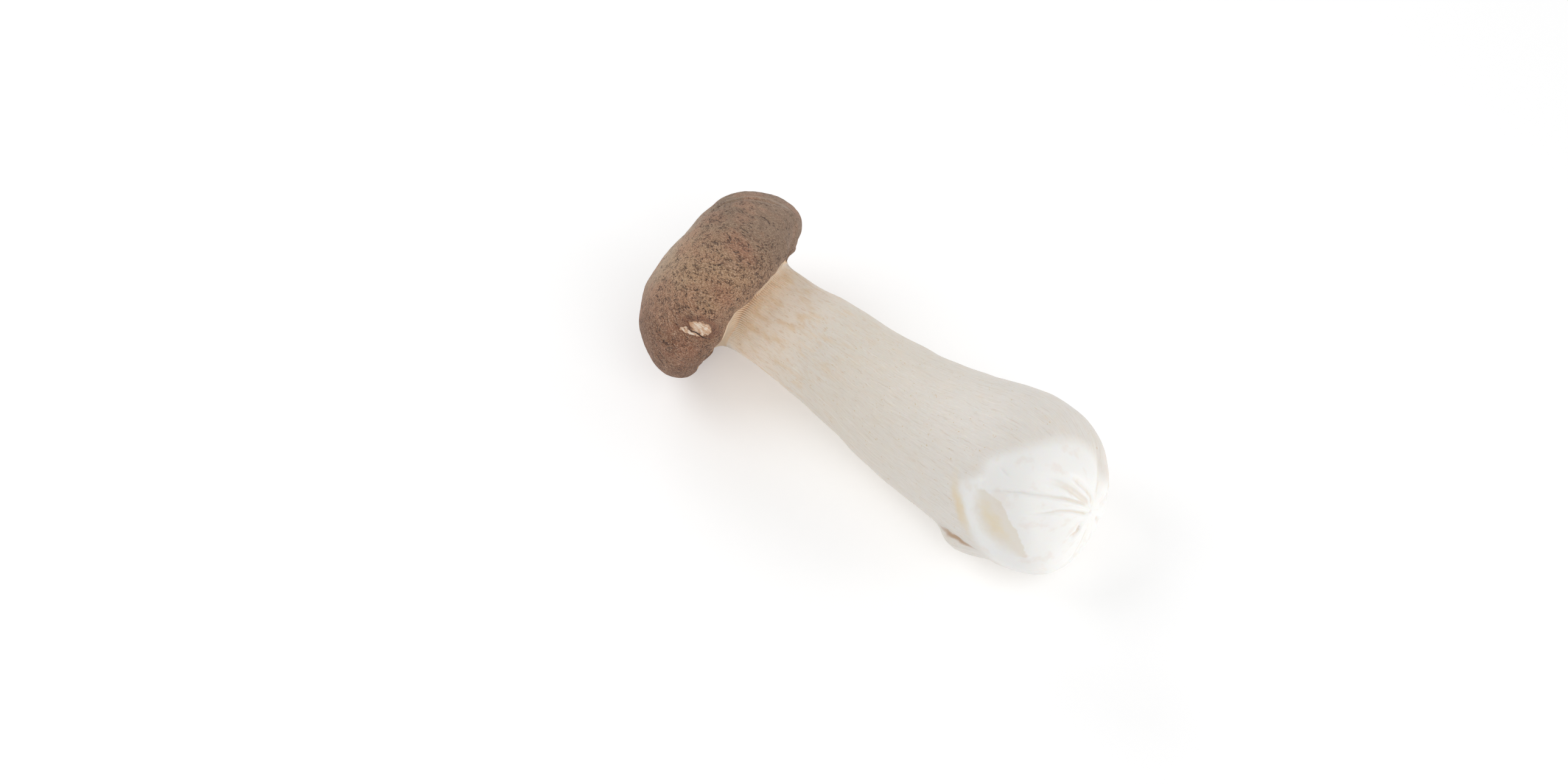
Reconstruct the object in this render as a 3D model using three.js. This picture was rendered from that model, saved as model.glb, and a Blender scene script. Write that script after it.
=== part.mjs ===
// A king oyster mushroom lying on its side, as picked: a domed brown cap, gills that run from under the cap a little
// way down the stem, and a thick pale stem that swells into a rounded base with creases meeting at its end.
// Millimetres, +Z up. +X runs from the cap to the base, and the origin is at the bottom centre of the mushroom's box.
// The mushroom grew as one body, so it is one closed mesh: rings of points round a bent line through its middle.
// A ring is placed by its distance from the line (radius) and its place along it (station), and by the angle round
// the line, which is 0 at the top, 90 on the side that faces -Y and 180 underneath.
import * as THREE from 'three';

// Driving dimensions. The outline is given as [radius, station]: stations run from the cap's top, which is negative,
// through the neck at 0 to the end of the base.
const CAP_SKIN = [
  [0, -28.4], [5.2, -28.7], [10.3, -29.3], [14.5, -28.8], [18.4, -27.2], [22.3, -25.1], [25.5, -22.0],
  [28.1, -18.0], [29.8, -13.6], [30.0, -9.6], [28.8, -6.9], [26.9, -5.1], [24.7, -4.3],
];
const GILL_EDGES = [[22.3, -4.7], [19.6, -4.9], [17.2, -3.9], [15.2, -1.9], [14.3, 1.5], [14.2, 5.5]];
const STEM = [
  [14.2, 10.5], [14.6, 16], [15.3, 22], [15.8, 30], [16.7, 41], [18.3, 52], [19.7, 63], [21.3, 74], [23.1, 85],
  [24.2, 96], [23.6, 103], [21.7, 109], [18.6, 114], [14.3, 117.6], [9.4, 120.3], [4.6, 121.9], [0, 122.4],
];

// The line through the middle: [station, x, y, z].
const MIDDLE_LINE = [
  [-30, -74.7, -1.8, 31.6], [-15, -60.2, 0.2, 28.5], [0, -45.6, 2.0, 25.4], [12, -33.8, 2.8, 23.6],
  [25, -20.9, 3.3, 22.5], [41, -4.9, 2.7, 21.4], [60, 14.1, 1.7, 21.0], [80, 34.1, 1.7, 22.6],
  [98, 51.9, 1.6, 25.0], [110, 63.8, 1.3, 27.1], [123, 76.6, 1.5, 30.1],
];

// How the cap departs from a round one: [angle, added radius, crown's shift, margin's shift], shifts along the line.
const CAP_SIDES = [
  [0, -1.3, 2.4, 8.5], [45, 0.6, 1.0, 7.0], [62, 1.2, 0.5, 6.9], [90, 1.9, -0.1, 3.0], [135, -0.1, -0.4, -1.5],
  [180, -0.8, 0.2, -2.6], [225, 0.3, 0.1, -1.0], [270, 0.1, 0.2, 1.0], [315, -1.0, 1.7, 3.2],
];
// How the stem's end departs from a round one: [angle, belly's swell, heel's swell].
const BASE_SIDES = [[0, 0.3, 0], [60, 0, -0.2], [120, -0.3, 3.0], [180, 0.8, 0.8], [240, -0.3, -0.1], [300, 0.6, 0]];
const BELLY = { beforeEnd: 44, reach: 14 };
const HEEL = { beforeEnd: 20, reach: 12 };

// The margin's waves: [waves round the cap, height, angle of the first crest].
const MARGIN_WAVES = [[5, 0.5, 20], [9, 0.35, 70], [14, 0.2, 10]];

// Gills: blades round the neck, deepest about midway, that fade at the margin and down the stem.
const GILL_COUNT = 56;
const GILL_DEPTH = [[0, 0], [2.5, 1.3], [5.5, 2.6], [9, 2.6], [12, 1.5], [15, 0.7], [19, 0.25], [23.1, 0]];
const GILL_TOP = 0.36;                       // share of the spacing that is a blade's free edge
const GILL_FLOOR = 0.32;                     // share that is the valley's floor

// Creases in the base, which gather near its end: [depth, path as [distance from the end, angle]].
const CREASES = [
  [1.0, [[34, 54], [29, 50], [24.4, 46], [16.5, 40], [10.9, 34], [5.4, 24], [1.5, 340]]],
  [0.9, [[20.7, 26], [14.9, 21], [11.2, 17], [6.5, 12], [2.0, 335]]],
  [0.7, [[13.4, 4], [9.2, 356], [4.5, 332], [1.5, 320]]],
  [0.8, [[21.6, 62], [15.1, 59], [11.6, 54], [8.1, 53], [3.0, 62], [1.2, 90]]],
  [0.8, [[5.1, 100], [6.4, 115], [9.3, 107]]],
  [0.6, [[22, 147], [14, 149], [8, 152], [5, 156]]],
  [0.7, [[26, 215], [16, 211], [8, 207], [4.5, 205]]],
  [0.6, [[20, 242], [12, 245], [7, 249], [5, 250]]],
  [0.6, [[24, 306], [15, 302], [8, 300], [5, 300]]],
];
const CREASE_WIDTH = 1.6;                    // half-width, in millimetres
const END_GAP = 1.5;                         // the last ring's distance from the end's middle point

// A stretch of the margin that rolls further under: its middle's distance and angle, its half-length along the
// outline, its half-width round the cap and its height.
const ROLLED_EDGE = { distance: 55, angle: 308, halfLength: 4, halfWidth: 14, height: 2.6 };

// A torn strip that stands out under the base's side: where it starts, crests and ends along the outline, its
// height, and the angles where it begins, is full, falls and is gone.
const TORN_STRIP = { start: 144, crest: 152, end: 163, height: 2.8, angles: [106, 112, 124, 152] };

// Rings of points in each stretch. Every ring count is a whole multiple of the one that it meets.
const CAP_RINGS = 15;
const GILL_RINGS = 8;
const STEM_RINGS = 13;
const BASE_RINGS = 16;
const BASE_LENGTH = 54;                      // the stretch with the finer rings, up to the end
const ROUND_COUNT = 56;
const BASE_COUNT = 2 * ROUND_COUNT;
const GILL_POINTS = 4 * GILL_COUNT;

const SKIN_COLOUR = 0x8f7057;
const FLESH_COLOUR = 0xe3d9cc;

// A smooth curve through a table's rows [x, value...], carried straight on past its ends.
function read(table, x) {
  const last = table.length - 1;
  let i = 0;
  while (i < last - 1 && x >= table[i + 1][0]) i += 1;
  const [low, high] = [table[i], table[i + 1]];
  const width = high[0] - low[0];
  const rise = (k, n) => (table[k + 1][n] - table[k][n]) / (table[k + 1][0] - table[k][0]);
  const slope = (k, n) => {
    if (k === 0) return rise(0, n);
    if (k === last) return rise(last - 1, n);
    const before = table[k][0] - table[k - 1][0];
    const after = table[k + 1][0] - table[k][0];
    return (rise(k - 1, n) * after + rise(k, n) * before) / (before + after);
  };
  return low.slice(1).map((value, m) => {
    const n = m + 1;
    if (x < table[0][0]) return value + (x - low[0]) * slope(0, n);
    if (x > table[last][0]) return high[n] + (x - high[0]) * slope(last, n);
    const u = (x - low[0]) / width;
    const [u2, u3] = [u * u, u * u * u];
    return (2 * u3 - 3 * u2 + 1) * value + (u3 - 2 * u2 + u) * width * slope(i, n)
      + (3 * u2 - 2 * u3) * high[n] + (u3 - u2) * width * slope(i + 1, n);
  });
}

// A table by angle, carried past 0 and 360 degrees so that it closes smoothly.
function closedTable(table) {
  const turned = (rows, turn) => rows.map(([angle, ...values]) => [angle + turn, ...values]);
  return [...turned(table.slice(-3), -360), ...table, ...turned(table.slice(0, 3), 360)];
}

// The outline as [distance along it, radius, station].
function outlineByDistance() {
  let distance = 0;
  let before = CAP_SKIN[0];
  return [...CAP_SKIN, ...GILL_EDGES, ...STEM].map((point) => {
    distance += Math.hypot(point[0] - before[0], point[1] - before[1]);
    before = point;
    return [distance, ...point];
  });
}

const OUTLINE = outlineByDistance();
const MARGIN_AT = OUTLINE[CAP_SKIN.length - 1][0];
const NECK_AT = OUTLINE[CAP_SKIN.length + GILL_EDGES.length][0];
const END_AT = OUTLINE[OUTLINE.length - 1][0];
const CAP_TABLE = closedTable(CAP_SIDES);
const BASE_TABLE = closedTable(BASE_SIDES);

// How strongly the cap's sidedness acts along the outline: [distance, radius, crown, margin].
const CAP_REACH = [
  [0, 0, 0.3, 0], [10, 0.1, 0.95, 0], [16, 0.3, 1, 0], [25, 0.6, 0.5, 0.05], [34, 0.9, 0.05, 0.25],
  [42, 1, 0, 0.85], [MARGIN_AT, 1, 0, 1], [MARGIN_AT + 7, 0.4, 0, 0.8], [MARGIN_AT + 14, 0.1, 0, 0.15],
  [NECK_AT, 0, 0, 0], [NECK_AT + 10, 0, 0, 0], [END_AT, 0, 0, 0],
];

const bump = (x, middle, reach) => Math.exp(-(((x - middle) / reach) ** 2));
const wrapped = (angle) => ((angle % 360) + 360) % 360;
const apart = (a, b) => Math.abs(wrapped(a - b + 180) - 180);

// The point, the direction and the two cross directions of the middle line at a station.
function middleAt(station) {
  const point = new THREE.Vector3(...read(MIDDLE_LINE, station));
  const along = new THREE.Vector3(...read(MIDDLE_LINE, station + 0.5))
    .sub(new THREE.Vector3(...read(MIDDLE_LINE, station - 0.5))).normalize();
  const up = new THREE.Vector3(0, 0, 1).addScaledVector(along, -along.z).normalize();
  return { point, up, side: new THREE.Vector3().crossVectors(along, up) };
}

function marginWave(angle) {
  return MARGIN_WAVES.reduce((sum, [count, height, first]) =>
    sum + height * Math.cos(THREE.MathUtils.degToRad(count * (angle - first))), 0);
}

// How deep the surface lies under the gills' free edges: 0 on an edge, 1 on a valley's floor.
function gillValley(angle) {
  const share = (angle / 360) * GILL_COUNT;
  const fromEdge = Math.abs(share - Math.round(share));
  const flank = 0.5 - GILL_TOP / 2 - GILL_FLOOR / 2;
  return THREE.MathUtils.clamp((fromEdge - GILL_TOP / 2) / flank, 0, 1);
}

// A place round the base's end, as if its surface were laid out flat.
function flatPlace(toEnd, angle) {
  const turn = THREE.MathUtils.degToRad(angle);
  return new THREE.Vector2(toEnd * Math.cos(turn), toEnd * Math.sin(turn));
}

function creaseDepth(distance, angle, radius) {
  const toEnd = END_AT - distance;
  const place = flatPlace(toEnd, angle);
  const spread = radius / Math.max(toEnd, 1);
  let deepest = 0;
  CREASES.forEach(([depth, path]) => {
    const corners = path.map(([fromEnd, side]) => flatPlace(fromEnd, side));
    corners.slice(1).forEach((corner, i) => {
      const run = corner.clone().sub(corners[i]);
      const gap = place.clone().sub(corners[i]);
      const along = THREE.MathUtils.clamp(gap.dot(run) / run.lengthSq(), 0, 1);
      gap.addScaledVector(run, -along);
      const share = (i + along) / (corners.length - 1);
      const fade = Math.min(1, share * 4 + 0.15) * Math.min(1, (1 - share) * 5 + 0.3);
      deepest = Math.max(deepest, depth * fade * bump(gap.length() * spread, 0, CREASE_WIDTH));
    });
  });
  return deepest;
}

function rolledEdge(distance, angle, radius) {
  const across = THREE.MathUtils.degToRad(apart(angle, ROLLED_EDGE.angle)) * radius;
  return ROLLED_EDGE.height * bump(distance, ROLLED_EDGE.distance, ROLLED_EDGE.halfLength)
    * bump(across, 0, ROLLED_EDGE.halfWidth);
}

function tornStrip(distance, angle) {
  const { start, crest, end, height, angles } = TORN_STRIP;
  const { smoothstep } = THREE.MathUtils;
  return height * smoothstep(distance, start, crest) * (1 - smoothstep(distance, crest, end))
    * smoothstep(angle, angles[0], angles[1]) * (1 - smoothstep(angle, angles[2], angles[3]));
}

// A point of the surface, at a distance along the outline and an angle round the line.
function surfacePoint(distance, angle) {
  const [radius, station] = read(OUTLINE, distance);
  const [r0, s0] = read(OUTLINE, distance - 0.05);
  const [r1, s1] = read(OUTLINE, distance + 0.05);
  const outward = new THREE.Vector2(s1 - s0, r0 - r1).normalize();
  const [reach, crown, margin] = read(CAP_REACH, distance);
  const [addedRadius, crownShift, marginShift] = read(CAP_TABLE, angle);
  const [belly, heel] = read(BASE_TABLE, angle);
  let swell = belly * bump(distance, END_AT - BELLY.beforeEnd, BELLY.reach)
    + heel * bump(distance, END_AT - HEEL.beforeEnd, HEEL.reach);
  swell += rolledEdge(distance, angle, radius) + tornStrip(distance, angle);
  if (distance > END_AT - BASE_LENGTH) swell -= creaseDepth(distance, angle, radius);
  if (distance > MARGIN_AT && distance < NECK_AT) {
    swell -= gillValley(angle) * read(GILL_DEPTH, distance - MARGIN_AT)[0];
  }
  const fullRadius = Math.max(0, radius + reach * addedRadius + swell * outward.x);
  const fullStation = station + crown * crownShift + margin * (marginShift + marginWave(angle))
    + swell * outward.y;
  const { point, up, side } = middleAt(fullStation);
  const turn = THREE.MathUtils.degToRad(angle);
  point.addScaledVector(up, fullRadius * Math.cos(turn)).addScaledVector(side, fullRadius * Math.sin(turn));
  point.z = Math.max(0, point.z);            // the small flats that the cap and the base rest on
  return point;
}

const evenAngles = (count) => Array.from({ length: count }, (_, i) => (i * 360) / count);

// Four points a gill: both corners of its free edge, and both corners of the valley beside it.
function gillAngles() {
  const corners = [-GILL_TOP / 2, GILL_TOP / 2, 0.5 - GILL_FLOOR / 2, 0.5 + GILL_FLOOR / 2];
  return Array.from({ length: GILL_POINTS }, (_, i) =>
    ((Math.floor(i / 4) + corners[i % 4]) * 360) / GILL_COUNT);
}

// Every ring from the cap's top to the base's end, as {distance, angles}.
function ringPlan() {
  const plan = [];
  const stretch = (from, to, count, angles) => {
    for (let i = 1; i <= count; i += 1) plan.push({ distance: from + ((to - from) * i) / count, angles });
  };
  const baseFrom = END_AT - BASE_LENGTH;
  stretch(0, MARGIN_AT, CAP_RINGS, evenAngles(ROUND_COUNT));
  stretch(MARGIN_AT, NECK_AT, GILL_RINGS, gillAngles());
  stretch(NECK_AT, baseFrom, STEM_RINGS, evenAngles(ROUND_COUNT));
  stretch(baseFrom, END_AT - END_GAP, BASE_RINGS, evenAngles(BASE_COUNT));
  return plan;
}

// Triangles between two rings, facing out. Where one ring has more points, each edge of the other fans out to them.
function joinRings(faces, first, next) {
  const fine = first.length > next.length ? first : next;
  const coarse = fine === first ? next : first;
  const share = fine.length / coarse.length;
  const put = fine === next
    ? (a, b, c) => faces.push(a, b, c)
    : (a, b, c) => faces.push(a, c, b);
  coarse.forEach((corner, j) => {
    const nextCorner = coarse[(j + 1) % coarse.length];
    const half = Math.ceil(share / 2);
    for (let i = 0; i < share; i += 1) {
      const a = fine[(j * share + i) % fine.length];
      const b = fine[(j * share + i + 1) % fine.length];
      if (i === half) put(corner, nextCorner, a);
      put(i < half ? corner : nextCorner, b, a);
    }
    if (half === share) put(corner, nextCorner, fine[((j + 1) * share) % fine.length]);
  });
}

function mushroomGeometry() {
  const points = [surfacePoint(0, 0)];
  const rings = ringPlan().map(({ distance, angles }) => angles.map((angle) => {
    points.push(surfacePoint(distance, angle));
    return points.length - 1;
  }));
  const end = points.push(surfacePoint(END_AT, 0)) - 1;

  const faces = [];
  const cap = rings[0];
  cap.forEach((corner, j) => faces.push(0, cap[(j + 1) % cap.length], corner));
  let skinCount = 0;
  rings.slice(1).forEach((ring, i) => {
    joinRings(faces, rings[i], ring);
    if (i + 2 === CAP_RINGS) skinCount = faces.length;
  });
  const base = rings[rings.length - 1];
  base.forEach((corner, j) => faces.push(corner, base[(j + 1) % base.length], end));

  const geometry = new THREE.BufferGeometry().setFromPoints(points);
  geometry.setIndex(faces);
  geometry.addGroup(0, skinCount, 0);
  geometry.addGroup(skinCount, faces.length - skinCount, 1);
  geometry.computeVertexNormals();
  return geometry;
}

const capSkin = new THREE.MeshStandardMaterial({ color: SKIN_COLOUR, roughness: 0.7, metalness: 0 });
const flesh = new THREE.MeshStandardMaterial({ color: FLESH_COLOUR, roughness: 0.55, metalness: 0 });
const mushroom = new THREE.Mesh(mushroomGeometry(), [capSkin, flesh]);
mushroom.name = 'king_oyster_mushroom';

const group = new THREE.Group();
group.add(mushroom);

export default group;
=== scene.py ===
# A king oyster mushroom lying on its side on a white table, as for a close studio photograph.
# The frame and every Blender object are in metres. The form's own numbers are in millimetres and degrees.
import math

import bpy
import numpy as np
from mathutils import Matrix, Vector, noise


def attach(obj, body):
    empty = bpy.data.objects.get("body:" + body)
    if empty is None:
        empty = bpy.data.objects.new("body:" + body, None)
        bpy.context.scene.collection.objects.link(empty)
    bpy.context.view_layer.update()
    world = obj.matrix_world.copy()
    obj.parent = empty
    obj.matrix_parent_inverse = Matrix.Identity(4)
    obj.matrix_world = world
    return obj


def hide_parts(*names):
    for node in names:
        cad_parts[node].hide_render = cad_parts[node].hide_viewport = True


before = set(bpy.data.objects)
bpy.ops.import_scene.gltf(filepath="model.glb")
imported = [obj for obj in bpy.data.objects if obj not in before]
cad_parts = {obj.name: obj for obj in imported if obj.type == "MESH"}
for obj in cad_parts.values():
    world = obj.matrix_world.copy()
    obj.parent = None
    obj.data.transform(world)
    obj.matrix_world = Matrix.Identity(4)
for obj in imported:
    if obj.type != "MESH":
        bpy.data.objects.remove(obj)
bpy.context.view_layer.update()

MM = 0.001
NODE = "king_oyster_mushroom"

FACING_ANGLE = 35.0                          # the side of the mushroom that the photograph shows

# Camera: its angles, and the picture's size and scale
CAMERA_AZIMUTH = 40.0
CAMERA_ELEVATION = 50.8
PICTURE_WIDTH = 2576
PICTURE_HEIGHT = 1288
ORIGIN_PIXEL = (1439.2, 732.4)               # where the photograph shows the frame's origin
PIXELS_PER_MM = 5.81
LENS_MM = 150.0
SENSOR_MM = 36.0
MIDDLE_DEPTH_MM = 19.0                       # the mushroom's middle is this much nearer than the origin
CLIP_END = 20.0

# The outline as [radius, station]: stations run from the cap's top, through the neck at 0, to the base's end.
CAP_SKIN = [
    [0, -28.4], [5.2, -28.7], [10.3, -29.3], [14.5, -28.8], [18.4, -27.2], [22.3, -25.1], [25.5, -22.0],
    [28.1, -18.0], [29.8, -13.6], [30.0, -9.6], [28.8, -6.9], [26.9, -5.1], [24.7, -4.3],
]
GILL_EDGES = [[22.3, -4.7], [19.6, -4.9], [17.2, -3.9], [15.2, -1.9], [14.3, 1.5], [14.2, 5.5]]
STEM = [
    [14.2, 10.5], [14.6, 16], [15.3, 22], [15.8, 30], [16.7, 41], [18.3, 52], [19.7, 63], [21.3, 74],
    [23.1, 85], [24.2, 96], [23.6, 103], [21.7, 109], [18.6, 114], [14.3, 117.6], [9.4, 120.3], [4.6, 121.9],
    [0, 122.4],
]

# The line through the middle: [station, x, y, z]
MIDDLE_LINE = [
    [-30, -74.7, -1.8, 31.6], [-15, -60.2, 0.2, 28.5], [0, -45.6, 2.0, 25.4], [12, -33.8, 2.8, 23.6],
    [25, -20.9, 3.3, 22.5], [41, -4.9, 2.7, 21.4], [60, 14.1, 1.7, 21.0], [80, 34.1, 1.7, 22.6],
    [98, 51.9, 1.6, 25.0], [110, 63.8, 1.3, 27.1], [123, 76.6, 1.5, 30.1],
]

# Departures from a round form: the cap's [angle, added radius, crown's shift, margin's shift], the base's
# [angle, belly's swell, heel's swell], and the margin's waves as [waves round the cap, height, first crest].
CAP_SIDES = [
    [0, -1.3, 2.4, 8.5], [45, 0.6, 1.0, 7.0], [62, 1.2, 0.5, 6.9], [90, 1.9, -0.1, 3.0],
    [135, -0.1, -0.4, -1.5], [180, -0.8, 0.2, -2.6], [225, 0.3, 0.1, -1.0], [270, 0.1, 0.2, 1.0],
    [315, -1.0, 1.7, 3.2],
]
BASE_SIDES = [[0, 0.3, 0], [60, 0, -0.2], [120, -0.3, 3.0], [180, 0.8, 0.8], [240, -0.3, -0.1], [300, 0.6, 0]]
BELLY_BEFORE_END = 44
BELLY_REACH = 14
HEEL_BEFORE_END = 20
HEEL_REACH = 12
MARGIN_WAVES = [[5, 0.5, 20], [9, 0.35, 70], [14, 0.2, 10], [23, 0.12, 3], [41, 0.06, 5]]

# Gills
GILL_COUNT = 140
GILL_DEPTH = [
    [0, 0], [2.5, 1.2], [5.5, 2.3], [9, 2.2], [11.5, 1.2], [14, 0.5], [17, 0.16], [20, 0.07], [23.1, 0],
]
SHORT_GILL = [[0, 1.0], [5, 0.95], [9, 0.6], [12, 0.15], [14, 0], [23.1, 0]]
GILL_FLANK = (0.05, 0.5)                     # from a gill's edge to the valley, in half spacings
SHORT_GILL_FLANK = (0.0, 0.5)
GILL_OPENING = (-1.5, 1.5)                   # across the end of the brown skin, in millimetres

# Creases in the base, each as (depth, half-width, path as [distance from the base's end, angle]). They fade
# at both ends, by (steepness along the path, share of the depth at its end).
CREASE_FADE_IN = (4, 0.15)
CREASE_FADE_OUT = (5, 0.3)
CAP_CREASES_REACH = 1.0                      # past the margin
LEAST_RADIUS = 1.0                           # for turning angles into lengths near a pole
CREASES = [
    (0.75, 0.55, [[34, 54], [29, 50], [24.4, 46], [16.5, 40], [10.9, 34], [5.4, 24], [1.5, 340]]),
    (0.8, 1.2, [[20.7, 26], [14.9, 21], [11.2, 17], [6.5, 12], [2.0, 335]]),
    (0.55, 0.8, [[13.4, 4], [9.2, 356], [4.5, 332], [1.5, 320]]),
    (0.6, 0.5, [[21.6, 62], [15.1, 59], [11.6, 54], [8.1, 53], [3.0, 62], [1.2, 90]]),
    (0.35, 0.45, [[7.0, 84], [3.4, 110]]),
    (0.9, 0.55, [[5.1, 100], [6.4, 115], [9.3, 107]]),
    (0.35, 0.35, [[34.7, 28], [34.2, 34]]),
    (0.35, 0.35, [[32.1, 35], [29.0, 38]]),
    (0.3, 0.35, [[24.2, 96], [22.6, 103], [23.2, 108]]),
    (0.5, 1.0, [[22, 147], [14, 149], [8, 152], [5, 156]]),
    (0.6, 0.9, [[26, 215], [16, 211], [8, 207], [4.5, 205]]),
    (0.45, 1.0, [[20, 242], [12, 245], [7, 249], [5, 250]]),
    (0.5, 1.3, [[24, 306], [15, 302], [8, 300], [5, 300]]),
]

# Creases in the cap, with their paths as [distance from the cap's top, angle]
CAP_CREASES = [
    (0.8, 1.1, [[19.5, 356], [21.5, 352], [26.2, 339], [31.1, 332], [36.0, 325], [40.0, 319]]),
    (0.45, 0.6, [[17.0, 350], [19.0, 345], [24.0, 333], [28.0, 327]]),
    (0.4, 0.9, [[20.0, 318], [27.0, 310], [34.0, 306]]),
    (0.35, 0.4, [[40.8, 39], [42.9, 41], [45.7, 44], [47.6, 45]]),
    (0.3, 0.4, [[36.0, 53], [37.3, 52], [39.1, 50]]),
    (0.3, 0.5, [[34.9, 66], [37.0, 68], [39.1, 68]]),
    (0.3, 0.5, [[36.1, 80], [38.6, 75], [42.5, 72]]),
    (0.3, 0.5, [[35.0, 150], [40.0, 156], [45.0, 157]]),
    (0.3, 0.5, [[33.0, 230], [38.0, 226], [44.0, 228]]),
]

# Where the stem's fibrous skin ends above the smooth base, as [angle, distance], and how proud it stands
SKIN_END = [
    [0, 172.0], [19, 166.5], [34, 160.6], [46, 159.6], [57, 155], [68, 156], [80, 158.5], [95, 161.5],
    [140, 168], [180, 171], [220, 177], [260, 184], [293, 186.8], [303, 184.2], [326, 178.6],
]
SKIN_END_STEP = 0.22
SKIN_END_HALF_WIDTH = 1.2

# The brown skin turns in under the margin by this much, as [angle, distance]
TURNED_IN = [
    [0, 1.8], [35, 0.7], [90, 0.7], [140, 1.2], [200, 1.8], [262, 2.4], [288, 8.0], [308, 11.5], [328, 7.0],
    [346, 3.0],
]
DEEPEST_TURNED_IN = 13.0

# A stretch of the margin that rolls further under, as (distance, angle, half-length, half-width, height),
# the scar on the cap as (distance, angle, half-length, half-width, depth), a knob on the base as
# (distance, angle, half-width, height), and a torn strip under the base as (start, crest, end, height)
ROLLED_EDGE = (55.0, 308.0, 4.0, 14.0, 2.6)
SCAR_DENT = (40.9, 61.5, 3.6, 2.2, 0.35)
KNOB = (163.0, 50.0, 1.7, 0.6)
TORN_STRIP = (144.0, 152.0, 163.0, 2.8)
TORN_STRIP_ANGLES = (106.0, 112.0, 124.0, 152.0)

# Rings: points round a ring and distance between rings, in millimetres, for each stretch
ROUND_COUNT = 280
CROWN_LENGTH = 18.0
CROWN_STEP = 0.8
CAP_STEP = 0.6
GILL_POINTS = 8 * GILL_COUNT
GILL_STEP = 1.15
STEM_STEP = 1.9
CREASED_LENGTH = 40.0
CREASED_STEP = 1.0
POLE_LENGTH = 6.0
POLE_STEP = 0.7
POLE_GAP = 0.4

# Small steps along the outline and the middle line, for their directions
OUTLINE_NUDGE = 0.05
STATION_NUDGE = 0.5

# Fine unevenness: the noise's scales, heights of its [lumps, pits] in millimetres, and where each kind holds
LUMP_SCALE = 0.16
PIT_SCALE = 0.75
PIT_SHIFT = (40, 0, 0)
CAP_UNEVENNESS = (0.35, 0.10)
CAP_UNEVEN_TO = (-5, 0)                      # from the margin
STEM_UNEVENNESS = (0.22, 0.03)
STEM_UNEVEN_FROM = (-4, 6)                   # from the neck
CLEAR_OF_TABLE = 2.0

# How the materials' places are found: see write_places
STRAIGHT_RADIUS = 20.0
STRAIGHT_BLEND = 8.0
FACING_FADE = (-150, -110)
FULL_CREASE = 0.6
FULL_GILL = 2.0
SMOOTH_BASE_BLEND = (-2.5, 4.0)

# The studio: the table's half width, and lights as (name, right, towards the camera, level and away, up,
# size, power), with places and sizes in metres and powers in watts
TABLE_HALF_WIDTH = 3.0
WORLD_STRENGTH = 0.46
LIGHTS = [
    ("softbox_above_left", -0.65, -0.1, 0.0, 0.85, 0.7, 2.4),
    ("softbox_behind", -0.45, 0.0, 0.9, 0.4, 0.7, 3.2),
    ("softbox_front", 0.35, 1.15, 0.0, 0.0, 0.8, 2.9),
    ("softbox_right", 1.0, 0.5, 0.0, -0.25, 0.6, 4.2),
]


# Curves through tables


def read(table, x):
    """Smooth values of a table's rows [x, value...] at an array of places, carried straight past its ends."""
    table = np.asarray(table, float)
    places, values = table[:, 0], table[:, 1:]
    x = np.atleast_1d(np.asarray(x, float))
    step = np.diff(places)[:, None]
    rise = np.diff(values, axis=0) / step
    slope = np.empty_like(values)
    slope[1:-1] = (rise[:-1] * step[1:] + rise[1:] * step[:-1]) / (step[1:] + step[:-1])
    slope[0] = rise[0]
    slope[-1] = rise[-1]
    i = np.clip(np.searchsorted(places, x, side="right") - 1, 0, len(places) - 2)
    width = step[i]
    u = (x - places[i])[:, None] / width
    result = (
        (2 * u**3 - 3 * u**2 + 1) * values[i]
        + (u**3 - 2 * u**2 + u) * width * slope[i]
        + (3 * u**2 - 2 * u**3) * values[i + 1]
        + (u**3 - u**2) * width * slope[i + 1]
    )
    low, high = x < places[0], x > places[-1]
    result[low] = values[0] + (x[low] - places[0])[:, None] * slope[0]
    result[high] = values[-1] + (x[high] - places[-1])[:, None] * slope[-1]
    return result


def closed_table(table):
    """A table by angle, carried past 0 and 360 degrees so that it closes smoothly."""
    table = np.asarray(table, float)
    before, after = table[-3:].copy(), table[:3].copy()
    before[:, 0] -= 360
    after[:, 0] += 360
    return np.vstack([before, table, after])


def outline_by_distance():
    """The outline as [distance along it, radius, station]."""
    points = np.array(CAP_SKIN + GILL_EDGES + STEM, float)
    steps = np.linalg.norm(np.diff(points, axis=0), axis=1)
    return np.column_stack([np.concatenate([[0], np.cumsum(steps)]), points])


def smoothstep(x, low, high):
    u = np.clip((x - low) / (high - low), 0, 1)
    return u * u * (3 - 2 * u)


def apart(a, b):
    """Signed angle from b to a, from -180 to 180 degrees."""
    return (a - b + 180) % 360 - 180


OUTLINE = outline_by_distance()
MARGIN_AT = OUTLINE[len(CAP_SKIN) - 1, 0]
NECK_AT = OUTLINE[len(CAP_SKIN) + len(GILL_EDGES), 0]
END_AT = OUTLINE[-1, 0]
CAP_TABLE = closed_table(CAP_SIDES)
BASE_TABLE = closed_table(BASE_SIDES)

# How strongly the cap's sidedness acts along the outline: [distance, radius, crown, margin]
CAP_REACH = [
    [0, 0, 0.3, 0], [10, 0.1, 0.95, 0], [16, 0.3, 1, 0], [25, 0.6, 0.5, 0.05], [34, 0.9, 0.05, 0.25],
    [42, 1, 0, 0.85], [MARGIN_AT, 1, 0, 1], [MARGIN_AT + 7, 0.4, 0, 0.8], [MARGIN_AT + 14, 0.1, 0, 0.15],
    [NECK_AT, 0, 0, 0], [NECK_AT + 10, 0, 0, 0], [END_AT, 0, 0, 0],
]


# The surface


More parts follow.
